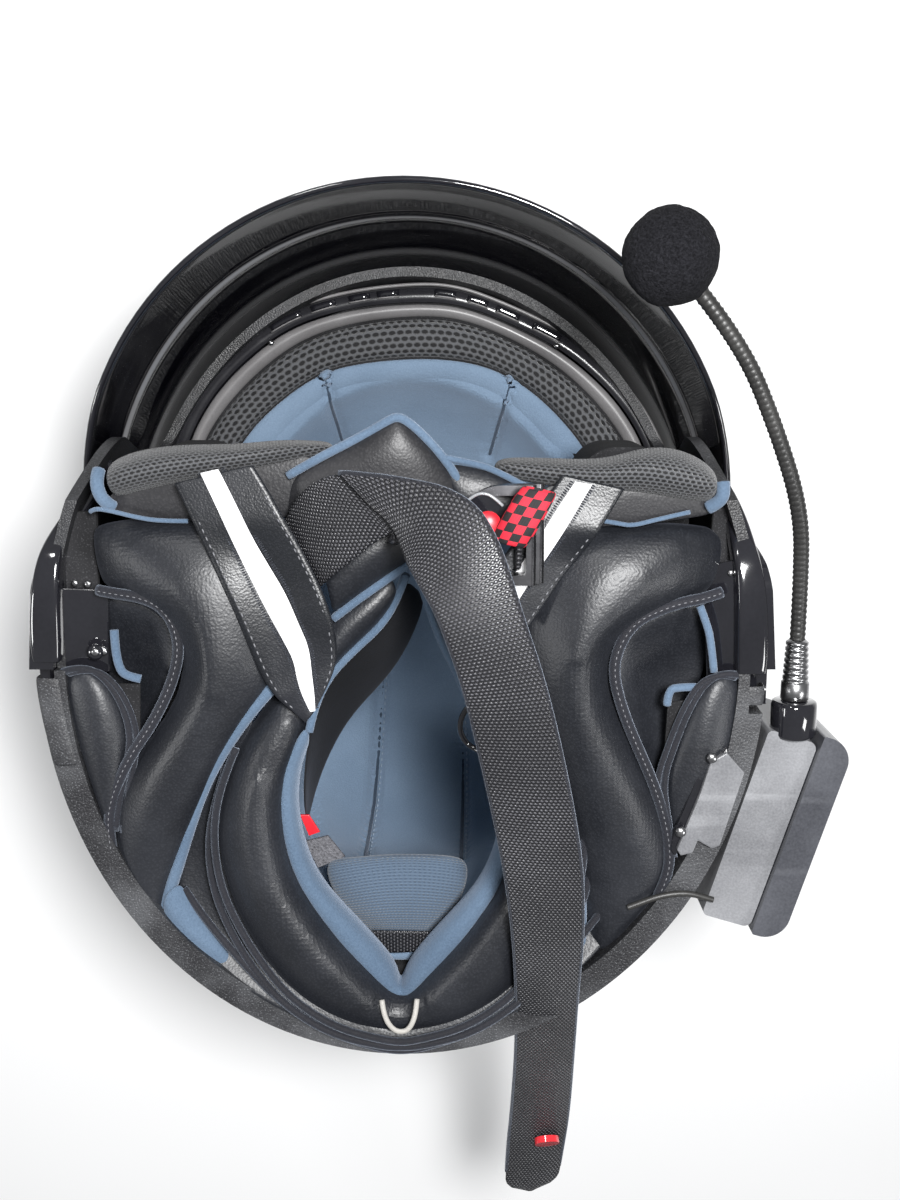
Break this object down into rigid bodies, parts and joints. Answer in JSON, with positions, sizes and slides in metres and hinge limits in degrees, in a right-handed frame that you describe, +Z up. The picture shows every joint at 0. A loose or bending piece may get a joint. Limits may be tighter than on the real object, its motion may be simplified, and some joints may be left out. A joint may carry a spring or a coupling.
{
  "type": "open-face riding helmet",
  "caption": "Open-face riding helmet resting on its crown, with clear face shield, inner sun visor, padded liner, chin strap and clip-on boom-microphone intercom.",
  "frame": {"origin": "centre of the flat on the crown vent cover, which the helmet rests on", "axes": "+Z up through the neck opening, +Y to the face, +X to the wearer's left"},
  "size_m": [0.2929, 0.4005, 0.2914],
  "materials": {
    "shell_paint": "matte black with fleck",
    "rim_trim": "matte fleck",
    "foam": "dark foam",
    "liner_fabric": "soft knit",
    "trim_plastic": "satin",
    "mesh": "3-D mesh",
    "clear_shield": "clear",
    "pivot_plastic": "satin",
    "gloss_black": "gloss",
    "smoke_visor": "smoke",
    "pin_steel": "satin",
    "vent_plastic": "gloss",
    "leatherette": "soft sheen",
    "liner_fabric_rear": "soft knit",
    "webbing": "woven",
    "snap_red": "gloss",
    "ring_steel": "polished",
    "reflective": "retroreflective",
    "checker": "woven check",
    "unit_matte": "fine grain",
    "unit_satin": "satin",
    "screw_steel": "bright",
    "ferrule_steel": "polished",
    "cable_rubber": "matte",
    "open_foam": "open foam",
    "mic_metal": "satin"
  },
  "bodies": {
    "helmet": {"outer_shell": "shell_paint", "rear_edge_trim": "rim_trim", "impact_liner": "foam", "crown_liner": "liner_fabric", "brow_trim": "trim_plastic", "brow_mesh_band": "mesh", "pivot_plate_left": "pivot_plastic", "pivot_plate_right": "pivot_plastic", "side_cover_left": "gloss_black", "side_cover_right": "gloss_black", "visor_pins": "pin_steel", "crown_vent": "vent_plastic", "rear_vent": "vent_plastic", "cheek_pad_left": "leatherette", "cheek_pad_right": "leatherette", "cheek_core_left": "foam", "cheek_core_right": "foam", "ear_foam_left": "foam", "ear_foam_right": "foam", "speaker_left": "pivot_plastic", "speaker_right": "pivot_plastic", "neck_roll": "leatherette", "nape_pad": "liner_fabric_rear", "chin_strap": "webbing", "strap_short": "webbing", "snap_button": "snap_red", "snap_socket": "screw_steel", "reflective_band_left": "leatherette", "reflective_strip_left": "reflective", "reflective_band_right": "leatherette", "reflective_strip_right": "reflective", "chin_flap": "leatherette", "intercom_cradle": "unit_matte", "intercom_unit": "unit_satin", "clamp_plate": "pivot_plastic", "clamp_screws": "screw_steel", "boom_collar": "gloss_black", "speaker_cable": "cable_rubber"},
    "face_shield": {"face_shield": "clear_shield"},
    "sun_visor": {"sun_visor": "smoke_visor"},
    "visor_lever": {"visor_lever": "vent_plastic"},
    "vent_slider": {"vent_slider": "vent_plastic"},
    "d_rings": {"d_ring_lower": "ring_steel", "d_ring_upper": "ring_steel", "pull_tab": "checker"},
    "call_button": {"call_button": "unit_satin"},
    "control_dial": {"control_dial": "unit_satin"},
    "boom": {"boom_ferrule": "ferrule_steel", "gooseneck": "cable_rubber", "microphone": "mic_metal", "windscreen": "open_foam"}
  },
  "joints": [
    {"name": "shield_lift", "type": "hinge", "parent": "helmet", "child": "face_shield", "pos_m": [0, 0.012, 0.138], "axis": [-1, 0, 0], "range_deg": [0, 70]},
    {"name": "sun_visor_drop", "type": "hinge", "parent": "helmet", "child": "sun_visor", "pos_m": [0, 0.02, 0.142], "axis": [1, 0, 0], "range_deg": [0, 38]},
    {"name": "visor_lever_slide", "type": "slide", "parent": "helmet", "child": "visor_lever", "axis": [-0.249, 0.9685, 0], "range_m": [0, 0.02]},
    {"name": "vent_slide", "type": "slide", "parent": "helmet", "child": "vent_slider", "axis": [0, 1, 0], "range_m": [0, 0.0075]},
    {"name": "ring_swing", "type": "hinge", "parent": "helmet", "child": "d_rings", "pos_m": [0.0473, 0.053, 0.2533], "axis": [0, 1, 0], "range_deg": [0, 18]},
    {"name": "call_button_press", "type": "slide", "parent": "helmet", "child": "call_button", "axis": [-0.9563, 0.2924, 0], "range_m": [0, 0.0012], "stiffness_N_per_m": 400},
    {"name": "control_dial_turn", "type": "hinge", "parent": "helmet", "child": "control_dial", "pos_m": [0.14298, -0.0786, 0.214], "axis": [0.9563, -0.2924, 0], "continuous": true},
    {"name": "boom_turn", "type": "hinge", "parent": "helmet", "child": "boom", "pos_m": [0.14139, -0.01402, 0.2357], "axis": [0, 1, 0], "range_deg": [0, 60]}
  ],
  "couplings": [
    {"joint": "visor_lever_slide", "follows": "sun_visor_drop", "m_per_rad": 0.03}
  ]
}
